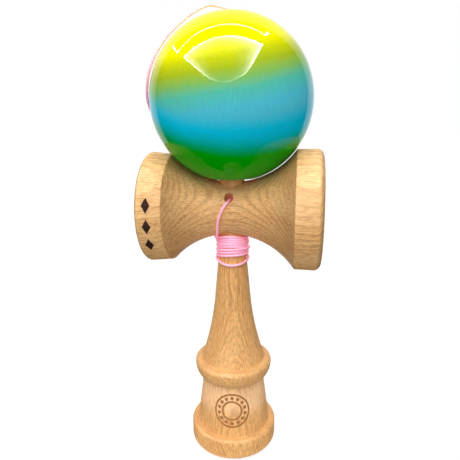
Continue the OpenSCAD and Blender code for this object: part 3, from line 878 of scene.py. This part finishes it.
class KENDAMA_OT_cross_piece(bpy.types.Operator):
    """Turns the cross piece with its saddle and two cups, and drills it"""

    bl_idname = "kendama.cross_piece"
    bl_label = "Cross piece"

    def execute(self, context):
        scene = context.scene
        s, handle, finish = scene.kendama_cross, scene.kendama_handle, scene.kendama_finish
        saddle_centre = s.waist_d / 2 + s.saddle_r
        small_r, big_r = s.small_rim_d / 2, s.big_rim_d / 2
        heels = (s.small_heel_d, s.big_heel_d)
        heel_angles = [math.acos((saddle_centre - d / 2) / s.saddle_r) for d in heels]
        small_end = -s.saddle_r * math.sin(heel_angles[0]) - s.small_band_w
        big_end = s.saddle_r * math.sin(heel_angles[1]) + s.big_band_w
        degrees = [math.degrees(a) for a in heel_angles]
        saddle = arc((saddle_centre, 0), (s.saddle_r,) * 2, 180 + degrees[0], 180 - degrees[1], 64)
        big_dish = dish(big_r - s.big_round - s.big_lip, -s.big_depth, big_end)
        outline = [
            *dish(small_r - s.small_round - s.small_lip, s.small_depth, small_end),
            *arc((small_r - s.small_round, small_end + s.small_round), (s.small_round,) * 2, -90, 0, 12),
            *saddle,
            *arc((big_r - s.big_round, big_end - s.big_round), (s.big_round,) * 2, 0, 90, 14),
            *reversed(big_dish),
        ]
        outline[0].x = outline[-1].x = 0
        along_x = Matrix.Translation((0, 0, CROSS_AXIS)) @ Matrix.Rotation(math.pi / 2, 4, "Y")
        mesh = turned("sarado_turned", divided(eased(outline, reach=0.4 * MM)), along_x)
        run = handle.spike_root_h - handle.seat_h
        radii = [d / 2 + s.bore_gap for d in (handle.neck_d, handle.spike_root_d)]
        # The drill goes on a little past the spike's root
        past = 2 * MM
        radii[1] -= (radii[0] - radii[1]) * past / run
        bore = rod(radii, run + past, Matrix.Translation((0, 0, handle.seat_h)), sides=96)
        hole = Matrix.Translation((0, 0, s.hole_h)) @ Matrix.Rotation(math.pi / 2, 4, "X")
        mesh = drilled(drilled(mesh, bore), rod((s.hole_d / 2,) * 2, s.waist_d, hole, sides=48))
        tilt = math.radians(14)
        layers = (0, -math.cos(tilt), math.sin(tilt))
        # The cross piece's end grain darkens fully, which is partly painted shade on the saddle's inward
        # flanks
        wood = beech(
            "turned beech, cross piece", finish.cross_pale, grain=(1, 0, 0), layers=layers, ring=1.5,
            end_wood_shade_depth=1.0, finish=finish, ornament=diamonds, burnt=finish.burnt_deep,
        )
        cross = new_piece("sarado_turned", mesh, wood)
        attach(cross, "handle")
        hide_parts("sarado_cups")
        return {"FINISHED"}


class KENDAMA_OT_ball(bpy.types.Operator):
    """Turns the ball, bores it and paints it"""

    bl_idname = "kendama.ball"
    bl_label = "Ball"

    def execute(self, context):
        s, finish = context.scene.kendama_ball, context.scene.kendama_finish
        hole_r, top_r, mouth_r = s.hole_d / 2, s.top_hole_d / 2, s.hole_d / 2 + s.hole_bevel
        centre = Vector((0, 0, s.centre_h))
        start, stop = math.acos(top_r / BALL_R), -math.acos(mouth_r / BALL_R)
        skin = arc((0, s.centre_h), (BALL_R,) * 2, math.degrees(start), math.degrees(stop), 120)
        outline = [
            Vector((top_r, s.hole_top_h)),
            *skin,
            Vector((hole_r, skin[-1].y + s.hole_bevel)),
            Vector((hole_r, s.hole_top_h)),
            Vector((top_r, s.hole_top_h)),
        ]
        mesh = turned("tama_painted", divided(eased(outline, reach=0.3 * MM))[:-1], sides=256)
        bare = beech(
            "bored beech inside the ball", finish.handle_pale, grain=(0, 0, 1), layers=(0.3, -0.954, 0),
            ring=1.1, end_wood_shade_depth=0.3, finish=finish,
        )
        ball = new_piece("tama_painted", mesh, sprayed_lacquer(finish, centre), bare)
        # The paint ends half a millimetre under the ball's skin
        bare_r = BALL_R - 0.5 * MM
        for face in mesh.polygons:
            if (face.center - centre).length < bare_r:
                face.material_index = 1
        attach(ball, "ball")
        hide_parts("tama_ball")
        return {"FINISHED"}


class KENDAMA_OT_bead(bpy.types.Operator):
    """Makes the bead inside the ball"""

    bl_idname = "kendama.bead"
    bl_label = "Bead"

    def execute(self, context):
        s, finish = context.scene.kendama_ball, context.scene.kendama_finish
        bore_r, bead_r = s.bead_bore_d / 2, (BEAD_HIGH.x - BEAD_LOW.x) / 2
        half = math.degrees(math.acos(bore_r / bead_r))
        skin = arc((0, BEAD_CENTRE.z), (bead_r, bead_r), half, -half, 40)
        outline = [Vector((bore_r, BEAD_CENTRE.z)), *skin, Vector((bore_r, BEAD_CENTRE.z))]
        mesh = turned("bead_moulded", eased(outline, reach=0.3 * MM)[:-1], sides=64)
        bead = new_piece("bead_moulded", mesh, moulded_bead(finish))
        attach(bead, "bead")
        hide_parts("swivel_bead")
        return {"FINISHED"}


def between(a, b, c, d, t):
    """A smooth curve from b, where t is 0, to c, where t is 1, on the way from a to d."""
    return 0.5 * (2 * b + (c - a) * t + (2 * a - 5 * b + 4 * c - d) * t**2 + (3 * b - 3 * c + d - a) * t**3)


def smooth_steps(values, at):
    """Values between the given ones, on a smooth curve through them."""
    padded = np.concatenate([values[:1], values, values[-1:]])
    spot = np.minimum(at.astype(int), len(values) - 2)
    return between(*(padded[spot + i] for i in range(4)), at - spot)


def distances(path):
    """How far along a path each of its points is."""
    return np.concatenate([[0], np.cumsum(np.linalg.norm(np.diff(path, axis=0), axis=1))])


def smooth_path(points, step, parts=24):
    """Points at an even step along a smooth curve through the given points.

    The curve is first drawn in so many parts from each given point to the next.
    """
    given = np.array(points, float)
    padded = np.vstack([2 * given[0] - given[1], given, 2 * given[-1] - given[-2]])
    t = np.linspace(0, 1, parts, endpoint=False)[:, None]
    spans = zip(padded, padded[1:], padded[2:], padded[3:])
    fine = np.vstack([*(between(*span, t) for span in spans), given[-1:]])
    run = distances(fine)
    marks = np.linspace(0, run[-1], max(2, round(run[-1] / step)))
    return np.stack([np.interp(marks, run, fine[:, i]) for i in range(3)], axis=1)


def braided_tube(name, path, diameter, sizes, sides=14):
    """A closed tube along the path whose skin rises and falls with the crossing yarns."""
    heading = np.gradient(path, axis=0)
    heading /= np.linalg.norm(heading, axis=1)[:, None]
    # Any way that no stretch of string starts along
    aside = (0.31, 0.2, 0.93)
    out = np.cross(heading[0], aside)
    frames = []
    for way in heading:
        out = out - (out @ way) * way
        out /= np.linalg.norm(out)
        frames.append((out, np.cross(way, out)))
    run = distances(path)
    turn = np.arange(sides) / sides
    first, second = (YARNS * turn + hand * run[:, None] / sizes.yarn_pitch for hand in (1, -1))
    crown = np.sin(math.tau * first) * np.sin(math.tau * second)
    radius = diameter / 2 - sizes.yarn_rise / 2 + sizes.yarn_rise * crown / 2
    a, b = np.array([f[0] for f in frames]), np.array([f[1] for f in frames])
    cos, sin = np.cos(math.tau * turn), np.sin(math.tau * turn)
    outward = cos[None, :, None] * a[:, None] + sin[None, :, None] * b[:, None]
    skin = path[:, None] + radius[..., None] * outward
    rings = len(path)
    faces = []
    for i in range(rings - 1):
        for k in range(sides):
            n = (k + 1) % sides
            faces.append((i * sides + k, i * sides + n, (i + 1) * sides + n, (i + 1) * sides + k))
    faces += [tuple(reversed(range(sides))), tuple(range((rings - 1) * sides, rings * sides))]
    mesh = bpy.data.meshes.new(name)
    mesh.from_pydata(skin.reshape(-1, 3).tolist(), [], faces)
    layer = mesh.uv_layers.new(name="along the string")
    spots = np.array([loop.vertex_index for loop in mesh.loops])
    around = (spots % sides) / sides
    # The last face of each ring closes the round, so its far side is at 1 and not at 0
    quads = around[: (rings - 1) * sides * 4].reshape(-1, 4)
    closing = quads.max(axis=1) - quads.min(axis=1) > 0.5
    quads[closing] = np.where(quads[closing] < 0.5, quads[closing] + 1, quads[closing])
    around[: (rings - 1) * sides * 4] = quads.ravel()
    marks = np.stack([around, run[spots // sides] / MM], axis=1)
    layer.data.foreach_set("uv", marks.astype(np.float32).ravel())
    return mesh


class KENDAMA_OT_string(bpy.types.Operator):
    """Lays the string from its anchor knot, round the neck and over the ball, and ties its knots"""

    bl_idname = "kendama.string"
    bl_label = "String and knots"

    def execute(self, context):
        scene = context.scene
        s, finish = scene.kendama_string, scene.kendama_finish
        cord = braided_cord(finish, s)
        route = [*LEAD_ROUTE, *self.winding(scene), *RISE_ROUTE, *OVER_ROUTE]
        path = smooth_path(np.array(route) * MM, s.ring_step)
        string = new_piece("string_braided", braided_tube("string_braided", path, s.string_d, s), cord)
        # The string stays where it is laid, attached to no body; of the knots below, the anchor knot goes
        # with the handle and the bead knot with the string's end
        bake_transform(string)
        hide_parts("string_lead", "string_winding", "string_rise", "string_over_ball")
        for node, body in (("anchor_knot", "handle"), ("bead_knot", "string_end")):
            low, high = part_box(node)
            knot = new_piece(node + "_tied", self.knot(node, (low + high) / 2, (high - low).x / 2, s), cord)
            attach(knot, body)
            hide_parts(node)
        return {"FINISHED"}

    def winding(self, scene):
        """Points of the turns round the neck, in millimetres: left, back, right and front of each."""
        handle, half = scene.kendama_handle, scene.kendama_string.string_d / 2 / MM
        # What is left free between the string and the wood
        clear = 0.03
        quarters = []
        for turn, left in enumerate(LEFT_OF_TURN):
            quarters += [left, BACK_OF_TURN[turn]]
            if turn < len(RIGHT_OF_TURN):
                quarters += [RIGHT_OF_TURN[turn], FRONT_OF_TURN[turn]]
        steps = 6
        heights = np.array(quarters, float)
        at = np.arange(len(quarters) * steps - steps + 1) / steps
        levels = smooth_steps(heights[:, 0], at)
        stands = smooth_steps(heights[:, 1], at)
        points = []
        for quarter, level, stand in zip(at, levels, stands):
            below = max(0, handle.neck_h / MM - level)
            radius = handle.neck_d / 2 / MM + below * math.tan(handle.taper) + half + clear + stand
            bearing = math.pi - quarter * math.pi / 2
            points.append((radius * math.cos(bearing), radius * math.sin(bearing), level))
        return points

    def knot(self, name, centre, reach, sizes):
        """An overhand knot pulled tight, as a closed loop of string."""
        # The loop is drawn 3 to each side and 1.4 up and down, and then brought to size
        strand, side, rise, count = sizes.knot_strand_d, 3, 1.4, 180
        scale = (reach - strand / 2) / side
        t = np.linspace(0, math.tau, count)
        x, y = np.sin(t) + 2 * np.sin(2 * t), np.cos(t) - 2 * np.cos(2 * t)
        loop = np.stack([x, y, -rise * np.sin(3 * t)], axis=1)
        return braided_tube(name + "_tied", np.array(centre) + scale * loop, strand, sizes)


class KENDAMA_PT_pieces(bpy.types.Panel):
    """Lists the pieces and their sizes"""

    bl_idname = "KENDAMA_PT_pieces"
    bl_label = "Kendama"
    bl_space_type = "VIEW_3D"
    bl_region_type = "UI"
    bl_category = "Kendama"

    def draw(self, context):
        for operator in OPERATORS:
            self.layout.operator(operator.bl_idname)
        for name, group in GROUPS.items():
            box = self.layout.box()
            box.label(text=group.__doc__)
            for prop in group.__annotations__:
                box.prop(getattr(context.scene, name), prop)


GROUPS = {
    "kendama_handle": HandleSizes,
    "kendama_cross": CrossSizes,
    "kendama_ball": BallSizes,
    "kendama_string": StringSizes,
    "kendama_finish": Finish,
    "kendama_stage": Stage,
}
OPERATORS = [
    KENDAMA_OT_stage,
    KENDAMA_OT_handle,
    KENDAMA_OT_cross_piece,
    KENDAMA_OT_ball,
    KENDAMA_OT_bead,
    KENDAMA_OT_string,
]


def register():
    for name, group in GROUPS.items():
        bpy.utils.register_class(group)
        setattr(bpy.types.Scene, name, bpy.props.PointerProperty(type=group))
    for cls in (*OPERATORS, KENDAMA_PT_pieces):
        bpy.utils.register_class(cls)


def unregister():
    for cls in (KENDAMA_PT_pieces, *reversed(OPERATORS)):
        bpy.utils.unregister_class(cls)
    for name, group in reversed(GROUPS.items()):
        delattr(bpy.types.Scene, name)
        bpy.utils.unregister_class(group)


def main():
    register()
    bpy.ops.kendama.stage()
    bpy.ops.kendama.handle()
    bpy.ops.kendama.cross_piece()
    bpy.ops.kendama.ball()
    bpy.ops.kendama.bead()
    bpy.ops.kendama.string()


if __name__ == "__main__":
    main()
